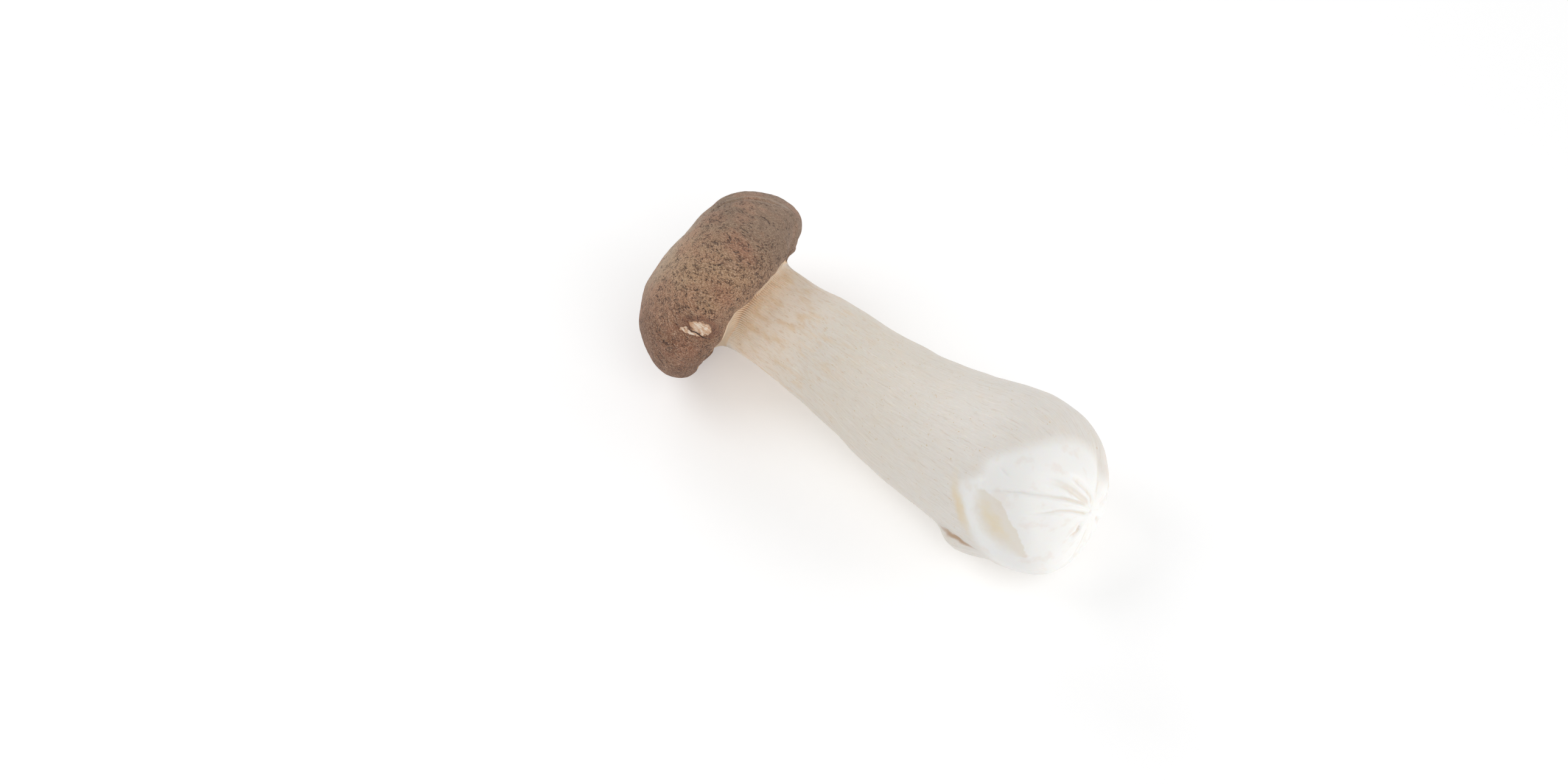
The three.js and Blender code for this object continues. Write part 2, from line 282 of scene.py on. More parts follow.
def gill_valley(distance, angle):
    """How deep the surface lies between the gills' free edges, 0 to 1, with short gills between long ones."""
    share = angle / 360 * GILL_COUNT
    from_long = np.abs(share - np.round(share)) * 2
    long_valley = smoothstep(from_long, *GILL_FLANK)
    short_height = np.clip(read(SHORT_GILL, distance - MARGIN_AT), 0, 1)[:, 0]
    short_valley = smoothstep(1 - from_long, *SHORT_GILL_FLANK)
    return np.minimum(long_valley, 1 - short_height * (1 - short_valley))


def gill_cut(distance, angle):
    """Depth of the valleys between the gills, in millimetres. They open where the brown skin ends."""
    under = (distance > MARGIN_AT) & (distance < NECK_AT)
    open_gill = under * smoothstep(past_skin_edge(distance, angle), *GILL_OPENING)
    return open_gill * gill_valley(distance, angle) * read(GILL_DEPTH, distance - MARGIN_AT)[:, 0]


def flat_map(to_pole, angle):
    """Places round a pole of the outline, as if its surface were laid out flat."""
    turn = np.radians(angle)
    return np.column_stack([to_pole * np.cos(turn), to_pole * np.sin(turn)])


def crease_depth(to_pole, angle, radius, creases):
    """How deep the creases cut at each place, in millimetres."""
    place = flat_map(to_pole, angle)
    spread = radius / np.maximum(to_pole, LEAST_RADIUS)
    deepest = np.zeros_like(to_pole)
    for depth, half_width, path in creases:
        path = np.array(path, float)
        corners = flat_map(path[:, 0], path[:, 1])
        for i in range(len(corners) - 1):
            run = corners[i + 1] - corners[i]
            along = np.clip((place - corners[i]) @ run / (run @ run), 0, 1)
            gap = np.linalg.norm(place - corners[i] - along[:, None] * run, axis=1) * spread
            share = (i + along) / (len(corners) - 1)
            fade_in = np.clip(share * CREASE_FADE_IN[0] + CREASE_FADE_IN[1], 0, 1)
            fade = fade_in * np.clip((1 - share) * CREASE_FADE_OUT[0] + CREASE_FADE_OUT[1], 0, 1)
            deepest = np.maximum(deepest, depth * fade * np.exp(-((gap / half_width) ** 2)))
    return deepest


def all_creases(distance, angle, radius):
    depth = np.zeros_like(distance)
    near_end = distance > END_AT - CREASED_LENGTH
    depth[near_end] = crease_depth(END_AT - distance[near_end], angle[near_end], radius[near_end], CREASES)
    on_cap = distance < MARGIN_AT + CAP_CREASES_REACH
    depth[on_cap] = crease_depth(distance[on_cap], angle[on_cap], radius[on_cap], CAP_CREASES)
    return depth


def past_skin_edge(distance, angle):
    """Millimetres past the edge of the brown skin, which turns in under the margin."""
    return distance - MARGIN_AT - read(closed_table(TURNED_IN), angle % 360)[:, 0]


def past_skin_end(distance, angle):
    """Millimetres past the end of the stem's fibrous skin."""
    return distance - read(closed_table(SKIN_END), angle % 360)[:, 0]


def skin_end_step(distance, angle):
    return smoothstep(past_skin_end(distance, angle), -SKIN_END_HALF_WIDTH, SKIN_END_HALF_WIDTH)


def local_forms(distance, angle, radius):
    """Height of the scar, the knob, the rolled edge, the torn strip and the end of the stem's skin."""
    def off(place, middle_angle):
        return distance - place, np.radians(apart(angle, middle_angle)) * radius

    at, side, half_length, half_width, depth = SCAR_DENT
    along, across = off(at, side)
    height = -depth * np.exp(-((along / half_length) ** 4) - (across / half_width) ** 4)
    at, side, half_width, knob = KNOB
    along, across = off(at, side)
    height += knob * np.exp(-((along / half_width) ** 2) - (across / half_width) ** 2)
    at, side, half_length, half_width, roll = ROLLED_EDGE
    along, across = off(at, side)
    height += roll * np.exp(-((along / half_length) ** 2) - (across / half_width) ** 2)
    start, crest, end, strip = TORN_STRIP
    begins, full, falls, gone = TORN_STRIP_ANGLES
    height += strip * (
        smoothstep(distance, start, crest) * (1 - smoothstep(distance, crest, end))
        * smoothstep(angle, begins, full) * (1 - smoothstep(angle, falls, gone))
    )
    return height - SKIN_END_STEP * skin_end_step(distance, angle)


def middle_at(station):
    """The middle line's points and its two cross directions at an array of stations."""
    point = read(MIDDLE_LINE, station)
    along = read(MIDDLE_LINE, station + STATION_NUDGE) - read(MIDDLE_LINE, station - STATION_NUDGE)
    along /= np.linalg.norm(along, axis=1)[:, None]
    up = np.array([0, 0, 1.0]) - along[:, 2:] * along
    up /= np.linalg.norm(up, axis=1)[:, None]
    return point, up, np.cross(along, up)


def surface_points(distance, angle, relief):
    """Points of the surface for arrays of distances and angles, raised outward by relief."""
    radius, station = read(OUTLINE, distance).T
    step = read(OUTLINE, distance + OUTLINE_NUDGE) - read(OUTLINE, distance - OUTLINE_NUDGE)
    outward = np.column_stack([step[:, 1], -step[:, 0]])
    outward /= np.linalg.norm(outward, axis=1)[:, None]
    reach, crown, margin = read(CAP_REACH, distance).T
    added_radius, crown_shift, margin_shift = read(CAP_TABLE, angle % 360).T
    belly, heel = read(BASE_TABLE, angle % 360).T
    swell = relief + belly * np.exp(-(((distance - END_AT + BELLY_BEFORE_END) / BELLY_REACH) ** 2))
    swell += heel * np.exp(-(((distance - END_AT + HEEL_BEFORE_END) / HEEL_REACH) ** 2))
    swell += local_forms(distance, angle, radius) - all_creases(distance, angle, radius)
    swell -= gill_cut(distance, angle)
    wave = sum(h * np.cos(np.radians(n * (angle - first))) for n, h, first in MARGIN_WAVES)
    full_radius = np.maximum(0, radius + reach * added_radius + swell * outward[:, 0])
    full_station = station + crown * crown_shift + margin * (margin_shift + wave) + swell * outward[:, 1]
    point, up, side = middle_at(full_station)
    turn = np.radians(angle)[:, None]
    point = point + full_radius[:, None] * (np.cos(turn) * up + np.sin(turn) * side)
    point[:, 2] = np.maximum(0, point[:, 2])
    return point


def ring_distances(start, end, step):
    count = math.ceil((end - start) / step)
    return [start + (end - start) * (i + 1) / count for i in range(count)]


def ring_plan():
    """Every ring from the cap's top to the base's end, as (distance, number of points)."""
    creased_from = END_AT - CREASED_LENGTH
    pole_from = END_AT - POLE_LENGTH
    return (
        [(d, ROUND_COUNT) for d in ring_distances(0, CROWN_LENGTH, CROWN_STEP)]
        + [(d, 2 * ROUND_COUNT) for d in ring_distances(CROWN_LENGTH, MARGIN_AT, CAP_STEP)]
        + [(d, GILL_POINTS) for d in ring_distances(MARGIN_AT, NECK_AT, GILL_STEP)]
        + [(d, ROUND_COUNT) for d in ring_distances(NECK_AT, creased_from, STEM_STEP)]
        + [(d, 2 * ROUND_COUNT) for d in ring_distances(creased_from, pole_from, CREASED_STEP)]
        + [(d, ROUND_COUNT) for d in ring_distances(pole_from, END_AT - POLE_GAP, POLE_STEP)]
    )


def join_rings(faces, first, first_count, following, following_count):
    """Faces between two rings: quads where they match, and fans where one has several times the points."""
    share = max(first_count, following_count) // min(first_count, following_count)
    if share == 1:
        for j in range(first_count):
            k = (j + 1) % first_count
            faces.append((first + j, first + k, following + k, following + j))
        return
    finer_follows = following_count > first_count
    coarse, count = (first, first_count) if finer_follows else (following, following_count)
    fine, fine_count = (following, following_count) if finer_follows else (first, first_count)
    for j in range(count):
        corner, next_corner = coarse + j, coarse + (j + 1) % count
        run = [fine + (j * share + i) % fine_count for i in range(share + 1)]
        half = share // 2
        found = [(corner, run[i + 1], run[i]) for i in range(half)]
        found.append((corner, next_corner, run[half]))
        found += [(next_corner, run[i + 1], run[i]) for i in range(half, share)]
        faces.extend(found if finer_follows else [face[::-1] for face in found])


def relief_of(distance, base):
    """Fine unevenness of the skin and flesh, in millimetres, from smooth noise at the base form's points."""
    pit_shift = Vector(PIT_SHIFT)
    lumps = np.array([noise.noise(Vector(p) * LUMP_SCALE) for p in base])
    pits = np.array([noise.noise(Vector(p) * PIT_SCALE + pit_shift) for p in base])
    on_cap = 1 - smoothstep(distance - MARGIN_AT, *CAP_UNEVEN_TO)
    on_stem = smoothstep(distance - NECK_AT, *STEM_UNEVEN_FROM)
    shape = on_cap * (CAP_UNEVENNESS[0] * lumps + CAP_UNEVENNESS[1] * pits)
    shape += on_stem * (STEM_UNEVENNESS[0] * lumps + STEM_UNEVENNESS[1] * pits)
    return shape * smoothstep(base[:, 2], 0.0, CLEAR_OF_TABLE)


def mushroom_mesh():
    plan = ring_plan()
    distance = [np.array([0.0])]
    angle = [np.array([0.0])]
    starts = []
    total = 1
    for place, count in plan:
        starts.append(total)
        distance.append(np.full(count, place))
        angle.append(np.arange(count) * 360 / count)
        total += count
    distance = np.concatenate(distance + [np.array([END_AT])])
    angle = np.concatenate(angle + [np.array([0.0])])

    faces = []
    first_count = plan[0][1]
    faces.extend((0, starts[0] + (j + 1) % first_count, starts[0] + j) for j in range(first_count))
    skin_faces = 0
    for i in range(len(plan) - 1):
        join_rings(faces, starts[i], plan[i][1], starts[i + 1], plan[i + 1][1])
        if plan[i + 1][0] <= MARGIN_AT + DEEPEST_TURNED_IN:
            skin_faces = len(faces)
    last, last_count = starts[-1], plan[-1][1]
    faces.extend((last + j, last + (j + 1) % last_count, total) for j in range(last_count))

    base = surface_points(distance, angle, np.zeros_like(distance))
    points = surface_points(distance, angle, relief_of(distance, base))
    mesh = bpy.data.meshes.new(NODE)
    mesh.from_pydata((points * MM).tolist(), [], faces)
    mesh.polygons.foreach_set("use_smooth", [True] * len(faces))
    mesh.polygons.foreach_set("material_index", [0] * skin_faces + [1] * (len(faces) - skin_faces))
    write_places(mesh, distance, angle)
    mesh.update()
    return mesh


def write_places(mesh, distance, angle):
    """Where each point lies on the mushroom, for the materials: all in millimetres.

    straight: across the middle line and along the surface, as if the mushroom were straight and round.
    unrolled: distance along the outline, and arc from the side that the camera faces.
    """
    radius = read(OUTLINE, distance)[:, 0]
    turn = np.radians(angle)
    past_margin = smoothstep(distance, MARGIN_AT, MARGIN_AT + STRAIGHT_BLEND)
    even = radius * (1 - past_margin) + STRAIGHT_RADIUS * past_margin
    straight = np.column_stack([even * np.cos(turn), even * np.sin(turn), distance])
    arc = np.radians(apart(angle, FACING_ANGLE)) * np.maximum(radius, LEAST_RADIUS)
    unrolled = np.column_stack([distance, arc, np.zeros_like(arc)])
    facing = smoothstep(-np.abs(apart(angle, FACING_ANGLE)), *FACING_FADE)
    past_edge = past_skin_edge(distance, angle)
    creased = np.minimum(1, all_creases(distance, angle, radius) / FULL_CREASE)
    smooth_base = smoothstep(past_skin_end(distance, angle), *SMOOTH_BASE_BLEND)
    in_gill = np.sqrt(np.minimum(1, gill_cut(distance, angle) / FULL_GILL))
    for name, kind, values in (
        ("straight", "FLOAT_VECTOR", straight),
        ("unrolled", "FLOAT_VECTOR", unrolled),
        ("facing", "FLOAT", facing),
        ("past_edge", "FLOAT", past_edge),
        ("creased", "FLOAT", creased),
        ("smooth_base", "FLOAT", smooth_base),
        ("in_gill", "FLOAT", in_gill),
    ):
        layer = mesh.attributes.new(name, kind, "POINT")
        layer.data.foreach_set("vector" if kind == "FLOAT_VECTOR" else "value", values.ravel())


# Materials


class Shader:
    """Short calls for building a material's nodes."""

    def __init__(self, name):
        self.material = bpy.data.materials.new(name)
        self.material.use_nodes = True
        self.tree = self.material.node_tree
        self.surface = self.tree.nodes["Principled BSDF"]

    def put(self, socket, value):
        if isinstance(value, bpy.types.NodeSocket):
            self.tree.links.new(value, socket)
        else:
            socket.default_value = value

    def put_surface(self, values):
        for name, value in values.items():
            self.put(self.surface.inputs[name], value)

    def node(self, kind, settings=None, **inputs):
        made = self.tree.nodes.new(kind)
        for key, value in (settings or {}).items():
            setattr(made, key, value)
        for key, value in inputs.items():
            self.put(made.inputs[key.replace("_", " ")], value)
        return made

    def math(self, operation, first, second=0.0):
        made = self.node("ShaderNodeMath", {"operation": operation})
        self.put(made.inputs[0], first)
        self.put(made.inputs[1], second)
        return made.outputs[0]

    def plus(self, first, second):
        return self.math("ADD", first, second)

    def minus(self, first, second):
        return self.math("SUBTRACT", first, second)

    def times(self, first, *others):
        for value in others:
            first = self.math("MULTIPLY", first, value)
        return first

    def vector(self, operation, first, second):
        made = self.node("ShaderNodeVectorMath", {"operation": operation})
        self.put(made.inputs[0], first)
        self.put(made.inputs[1], second)
        return made.outputs["Value" if operation == "DOT_PRODUCT" else "Vector"]

    def attribute(self, name, output="Vector"):
        return self.node("ShaderNodeAttribute", {"attribute_name": name}).outputs[output]

    def noise(self, place, scale, detail, roughness):
        made = self.node("ShaderNodeTexNoise", Vector=place, Scale=scale, Detail=detail, Roughness=roughness)
        return made.outputs["Fac"]

    def noises(self, table, places):
        """A table's noise patterns, by name."""
        found = {}
        for name, place, stretch, scale, detail, roughness in table:
            stretched = self.vector("MULTIPLY", places[place], (1.0, 1.0, stretch))
            found[name] = self.noise(stretched, scale, detail, roughness)
        return found

    def wander(self, place, scale, reach):
        """Smooth random offsets, each up to half of its reach either way."""
        shades = self.node("ShaderNodeTexNoise", Vector=place, Scale=scale).outputs["Color"]
        return self.vector("MULTIPLY", self.vector("SUBTRACT", shades, (0.5, 0.5, 0.5)), reach)

    def cell_edges(self, place, scale):
        """Distance from the edges of irregular cells."""
        made = self.node("ShaderNodeTexVoronoi", {"feature": "DISTANCE_TO_EDGE"}, Vector=place, Scale=scale)
        return made.outputs["Distance"]

    def ramp(self, value, low, high):
        """Smoothly from 0 at low to 1 at high, where low may be the larger."""
        falls = low > high
        made = self.node(
            "ShaderNodeMapRange", {"interpolation_type": "SMOOTHSTEP"}, Value=value,
            From_Min=min(low, high), From_Max=max(low, high), To_Min=float(falls), To_Max=float(not falls),
        )
        return made.outputs["Result"]

    def mix(self, amount, first, second):
        made = self.node("ShaderNodeMix", {"data_type": "RGBA"})
        self.put(made.inputs[MIX_AMOUNT], amount)
        self.put(made.inputs[MIX_FIRST], first)
        self.put(made.inputs[MIX_SECOND], second)
        return made.outputs[MIX_RESULT]

    def tint(self, under, mask, strength, over):
        return self.mix(self.times(mask, strength), under, over)

    def tints(self, under, table, sources, places):
        """Lay a table's tints over a colour, each by its source's run between two values and in its place."""
        for source, low, high, place, strength, over in table:
            mask = self.times(self.ramp(sources[source], low, high), places[place])
            under = self.tint(under, mask, strength, colour(*over))
        return under

    def ellipse(self, place, middle, half_length, half_width, turn, ragged=None):
        """Distance from a mark's middle in the unrolled surface, 1 on its edge."""
        moved = self.vector("SUBTRACT", place, (*middle, 0.0))
        if ragged is not None:
            moved = self.vector("ADD", moved, ragged)
        c, s = math.cos(math.radians(turn)), math.sin(math.radians(turn))
        along = self.vector("DOT_PRODUCT", moved, (c / half_length, s / half_length, 0.0))
        across = self.vector("DOT_PRODUCT", moved, (-s / half_width, c / half_width, 0.0))
        return self.math("SQRT", self.plus(self.times(along, along), self.times(across, across)))

    def ragged_mark(self, place, mark, rough):
        """Distance from a table's mark (distance, angle, half-length, half-width, turn, raggedness)."""
        distance, angle, half_length, half_width, turn, raggedness = mark
        ragged = self.vector("MULTIPLY", rough, (raggedness,) * 3)
        return self.ellipse(place, arc_mm(distance, angle), half_length, half_width, turn, ragged)

    def bump(self, height, relief_mm):
        made = self.node("ShaderNodeBump", Strength=1.0, Distance=relief_mm * MM, Height=height)
        return made.outputs["Normal"]


def colour(red, green, blue):
    """A colour picked in the usual 0 to 255 display scale."""
    def straighten(value):
        value /= 255
        return value / 12.92 if value <= 0.04045 else ((value + 0.055) / 1.055) ** 2.4
    return (straighten(red), straighten(green), straighten(blue), 1.0)


def arc_mm(distance, angle):
    """A mark's place in the unrolled surface, from its distance along the outline and its angle."""
    radius = read(OUTLINE, distance)[0, 0]
    return (distance, math.radians(apart(angle, FACING_ANGLE)) * radius)


# Sockets of a colour mix, which share their names with those for other kinds of value
MIX_AMOUNT = 0
MIX_FIRST = 6
MIX_SECOND = 7
MIX_RESULT = 2

# Under the cap: cream flesh, made paler as painted light against the cap's shadow, and painted shade deeper
# in the gills' valleys
UNDER_CAP_AND_PAINTED_LIGHT = (255, 230, 202)
GILL_PAINTED_SHADE = (188, 146, 102)
GILL_PAINTED_SHADE_STRENGTH = 0.55

# The noise patterns below are each (name, place, stretch along the surface, scale, detail, roughness). The
# tints are each (source, from, to, where, strength, colour), and are laid in turn.
CAP_WOBBLE_SCALE = 1.6
CAP_WOBBLE = (0.5, 0.5, 0.5)
CAP_NOISES = [
    ("grain", "wobbled", 0.75, 3.4, 2.0, 0.55),
    ("fine", "straight", 1.0, 9.0, 2.0, 0.7),
    ("medium", "wobbled", 0.6, 0.95, 3.0, 0.6),
    ("blotches", "straight", 1.0, 0.30, 4.0, 0.6),
    ("clouds", "straight", 1.0, 0.10, 3.0, 0.6),
    ("busy", "straight", 1.0, 0.55, 2.0, 0.55),
    ("broken", "straight", 1.0, 1.5, 1.0, 0.55),
    ("threads", "straight", 0.3, 2.2, 3.0, 0.55),
]
CROWN_TAN = (222, 204, 180)
SIDE_TAN = (208, 168, 132)
CROWN_TO_SIDE = (6.0, 33.0)
CAP_TINTS = [
    ("distance", 38.0, 49.0, "all", 1.0, (196, 150, 116)),
    # Darker and redder on the side towards the table: partly redder skin, partly painted shade
    ("lowness", 2.0, 23.0, "all", 0.9, (140, 86, 54)),
    ("lowness", -2.0, -20.0, "all", 0.85, (150, 124, 104)),
    ("clouds", 0.47, 0.62, "all", 0.45, (204, 148, 118)),
    ("blotches", 0.50, 0.70, "all", 0.4, (150, 118, 98)),
    ("medium", 0.44, 0.62, "all", 0.22, (206, 172, 142)),
]

# Pinkish blushes near the margin: their colour, size, fade and [distance, angle, strength]
BLUSH = (186, 120, 92)
BLUSH_SIZE = (7.0, 5.0, 20.0)
BLUSH_FADE = (1.0, 0.1)
BLUSHES = [[38.4, 13.0, 0.5], [40.8, 38.0, 0.45], [40.6, 74.0, 0.35]]

# The skin is worn smoother on its crown, by distance, and on its far side, by lowness
WORN_CROWN = (33.0, 15.0)
WORN_SIDE = (-6.0, -24.0)
WORN_SIDE_STRENGTH = 0.75
WORN_SMOOTHS = 0.60
WORN_UNCRACKS = 0.10
GRAIN_SHARE = 0.65
GRAIN_TINTS = [
    ("mixed_grain", 0.52, 0.36, "rough", 0.60, (104, 62, 38)),
    ("mixed_grain", 0.50, 0.64, "rough", 0.52, (250, 218, 186)),
]

# Short broken cracks along the edges of drawn-out cells, each as
# (scale, width, patchiness from, to, strength, colour, depth)
CRACK_STRETCH = (1.0, 1.0, 0.55)
CRACK_CORE = 0.3
CRACKS = [
    (1.7, 0.15, 0.96, 1.12, 0.72, (84, 48, 30), 0.7),
    (0.55, 0.055, 1.04, 1.16, 0.75, (70, 42, 28), 1.0),
]

# Along the cap's creases: a painted highlight on their shoulders, only where the skin is worn smooth, and a
# dark line of painted shade in them that the grain breaks up
SHOULDER_RISE = (0.08, 0.30)
SHOULDER_FALL = (0.75, 0.45)
SHOULDER_STRENGTH = 0.35
SHOULDER_HIGHLIGHT = (222, 206, 190)
SHADE_IN_CREASE = (0.70, 1.0)
SHADE_IN_GRAIN = (0.75, 0.50)
CREASE_SHADE_STRENGTH = 0.8
CREASE_SHADE_COLOUR = (70, 48, 38)

# The scar: its pieces as (along, across, half-length, half-width, turn, faintness) from its middle, the split
# between them, its reddened rim, and the torn flesh in it
SCAR_SHIFT = (0.3, -1.5)
SCAR_PIECES = [(0.0, 0.0, 3.4, 1.9, -26.0, 1.0), (-1.8, 2.9, 2.8, 0.8, -18.0, 1.1)]
SCAR_ROUGH_SCALE = 0.9
SCAR_ROUGH = (2.6, 2.6, 0.0)
SCAR_RIM_FADE = (2.1, 1.0)
SCAR_RIM_STRENGTH = 0.6
SCAR_RIM = (132, 82, 62)
SCAR_EDGE = (1.05, 0.88)
TORN_THREADS = (0.38, 0.62)
TORN_DARK = (214, 172, 138)
TORN_PALE = (246, 228, 208)
TORN_EDGE_FADE = (0.55, 1.0)
TORN_EDGE = (206, 158, 122)
SPLIT = (0.1, 2.1, 2.5, 0.17, -8.0)
SPLIT_ROUGHNESS = (0.35, 0.35, 0.35)
SPLIT_FADE = (1.4, 0.6)
SPLIT_COLOUR = (66, 42, 32)

# Where the brown skin ends, by millimetres past its edge: a duller band, a pale line, then flesh
EDGE_BAND = (-1.2, -0.3)
EDGE_BAND_STRENGTH = 0.35
EDGE_BAND_COLOUR = (140, 104, 78)
EDGE_LINE = (-0.35, -0.05)
EDGE_LINE_STRENGTH = 0.85
EDGE_LINE_COLOUR = (232, 196, 160)
FLESH_BEGINS = (0.1, 0.7)
RELIEF_ENDS = (0.0, -0.5)

# The cap's relief in millimetres and its shares, and its surface
CAP_RELIEF_MM = 0.26
GRAIN_RELIEF = 3.2
TORN_FLATTENS = 0.7
THREAD_RELIEF = 1.2
TORN_DEPTH = 1.6
SPLIT_DEPTH = 1.2
CAP_ROUGHNESS = 0.56
CAP_ROUGHNESS_SPREAD = 0.25
CAP_SURFACE = {
    "Specular IOR Level": 0.28,
    "Sheen Weight": 0.22,
    "Sheen Roughness": 0.45,
    "Sheen Tint": (0.93, 0.87, 0.82, 1.0),
    "Subsurface Weight": 0.06,
    "Subsurface Radius": (1.0, 0.5, 0.3),
    "Subsurface Scale": 0.5 * MM,
}

# The flesh: patterns, base colours from the neck to the base, and tints
FLESH_WOBBLE_SCALE = 0.12
FLESH_WOBBLE = (1.6, 1.6, 0.0)
FLESH_NOISES = [
    ("fibres", "wobbled", 0.05, 2.6, 4.0, 0.65),
    ("hairs", "wobbled", 0.12, 4.8, 2.0, 0.6),
    ("dashes", "wobbled", 0.22, 2.0, 2.0, 0.6),
    ("stains", "wobbled", 0.5, 0.26, 4.0, 0.6),
    ("small_stains", "wobbled", 0.45, 0.8, 4.0, 0.62),
    ("specks", "straight", 0.6, 1.5, 1.0, 0.55),
    ("pinkish", "straight", 1.0, 0.22, 3.0, 0.55),
    ("across", "straight", 0.2, 1.3, 2.0, 0.55),
]
UPPER_STEM = (228, 220, 208)
LOWER_STEM = (230, 225, 218)
UPPER_TO_LOWER = (96.0, 160.0)
# Lighter and warmer towards the neck: partly the flesh's warmer tone, partly painted light against the cap's
# shadow
NECK_TINTS_AND_PAINTED_LIGHT = [
    ("distance", 92.0, 70.0, "all", 1.0, (248, 233, 216)),
    ("distance", 74.0, 60.0, "all", 1.0, (255, 238, 216)),
    ("distance", 62.0, 52.0, "all", 1.0, UNDER_CAP_AND_PAINTED_LIGHT),
]
STEM_BEGINS = (58.0, 68.0)
STAINS_END = (112.0, 70.0)
STAINS_EVERYWHERE = 0.10
STAINS_NEAR_CAP = 0.65
DASHES_END = (168.0, 80.0)
STEM_TINTS = [
    ("stains", 0.48, 0.70, "stained", 0.72, (230, 198, 154)),
    ("small_stains", 0.52, 0.72, "stained", 0.5, (212, 170, 124)),
    ("fibres", 0.53, 0.72, "fibrous", 0.26, (190, 166, 136)),
    ("fibres", 0.47, 0.32, "fibrous", 0.3, (246, 240, 232)),
    ("dashes", 0.62, 0.72, "dashed", 0.42, (196, 162, 122)),
    ("specks", 0.71, 0.76, "fibrous_stem", 0.5, (206, 176, 116)),
]
# White of the smooth base: its own paler tissue, partly painted light on the bulb
SMOOTH_BASE = (244, 243, 240)
BASE_TINTS = [("pinkish", 0.52, 0.7, "smooth_base", 0.4, (236, 226, 218))]

# The marks on the base, each as (distance, angle, half-length, half-width, turn, raggedness): a dull patch
# with one sharp side, yellow within it, a yellow streak above it, and a dark line of painted shadow along the
# torn strip
BASE_ROUGH_SCALE = 0.42
BASE_ROUGH = (3.0, 3.0, 0.0)
PATCH = (168.8, 75.0, 10.4, 6.2, 48.0, 1.0)
PATCH_SHARP_WAY = (-0.74, 0.67, 0.0)
PATCH_SHARP_REACH = (1.5, -1.5)
PATCH_SHARP_FADE = (1.0, 0.9)
PATCH_SOFT_FADE = (1.05, 0.35)
PATCH_STRENGTH = 0.60
PATCH_COLOUR = (229, 219, 203)
YELLOW = (168.6, 73.0, 5.0, 2.2, 40.0, 1.2)
YELLOW_FADE = (1.6, 0.2)
YELLOW_LEAST = 0.25
YELLOW_STRENGTH = 0.6
YELLOW_COLOUR = (235, 217, 178)
STREAK = (156.6, 73.0, 8.2, 1.9, 66.0, 1.1)
STREAK_FADE = (1.6, 0.0)
STREAK_STRENGTH = 0.7
STREAK_COLOUR = (231, 212, 176)
STRIP_SHADOW = (154.5, 107.5, 5.2, 0.42, 6.0, 0.3)
STRIP_SHADOW_FADE = (1.7, 0.4)
STRIP_SHADOW_STRENGTH = 0.75
STRIP_SHADOW_COLOUR = (178, 138, 96)
# Tan in the base's creases, by their depth: partly their own tan, partly painted shade
CREASE_TINTED = (0.5, 1.0)
CREASE_TINT_ENDS = (176.0, 196.0)
CREASE_TINT_STRENGTH = 0.35
CREASE_TAN_AND_SHADE = (218, 198, 168)

# The flesh's relief in millimetres and its shares, and its surface
FLESH_RELIEF_MM = 0.15
FIBRE_RELIEF = 0.8
HAIR_RELIEF = 0.25
SMOOTH_RELIEF = 0.15
FLESH_ROUGHNESS = 0.34
FIBROUS_ROUGHNESS = 0.1
FIBRE_ROUGHNESS = 0.15
FLESH_SURFACE = {
    "Specular IOR Level": 0.4,
    "Subsurface Weight": 0.4,
    "Subsurface Radius": (1.0, 0.72, 0.5),
    "Subsurface Scale": 2.5 * MM,
}

# White, with a faint glow that keeps the mushroom's shadow pale
TABLE_SURFACE = {
    "Base Color": (0.86, 0.86, 0.86, 1.0),
    "Roughness": 0.3,
    "Specular IOR Level": 0.3,
    "Emission Color": (1.0, 1.0, 1.0, 1.0),
    "Emission Strength": 0.27,
}


def scar_marks(s, skin, places, facing, threads):
    """The skin with the scar on it, and how far each place is torn flesh or in the split."""
    middle = arc_mm(SCAR_DENT[0] + SCAR_SHIFT[0], SCAR_DENT[1] + SCAR_SHIFT[1])
    rough = s.wander(places["straight"], SCAR_ROUGH_SCALE, SCAR_ROUGH)

    def from_mark(along, across, half_length, half_width, turn, ragged):
        place = (middle[0] + along, middle[1] + across)
        return s.ellipse(places["unrolled"], place, half_length, half_width, turn, ragged)

    from_pieces = [s.times(from_mark(*piece, rough), faintness) for *piece, faintness in SCAR_PIECES]
    near = s.math("MINIMUM", *from_pieces)
    skin = s.tint(skin, s.times(s.ramp(near, *SCAR_RIM_FADE), facing), SCAR_RIM_STRENGTH, colour(*SCAR_RIM))
    flesh = s.mix(s.ramp(threads, *TORN_THREADS), colour(*TORN_DARK), colour(*TORN_PALE))
    flesh = s.mix(s.ramp(near, *TORN_EDGE_FADE), flesh, colour(*TORN_EDGE))
    torn = s.times(s.ramp(near, *SCAR_EDGE), facing)
    skin = s.mix(torn, skin, flesh)
    from_split = from_mark(*SPLIT, s.vector("MULTIPLY", rough, SPLIT_ROUGHNESS))
    split = s.times(s.ramp(from_split, *SPLIT_FADE), facing)
    return s.mix(split, skin, colour(*SPLIT_COLOUR)), torn, split


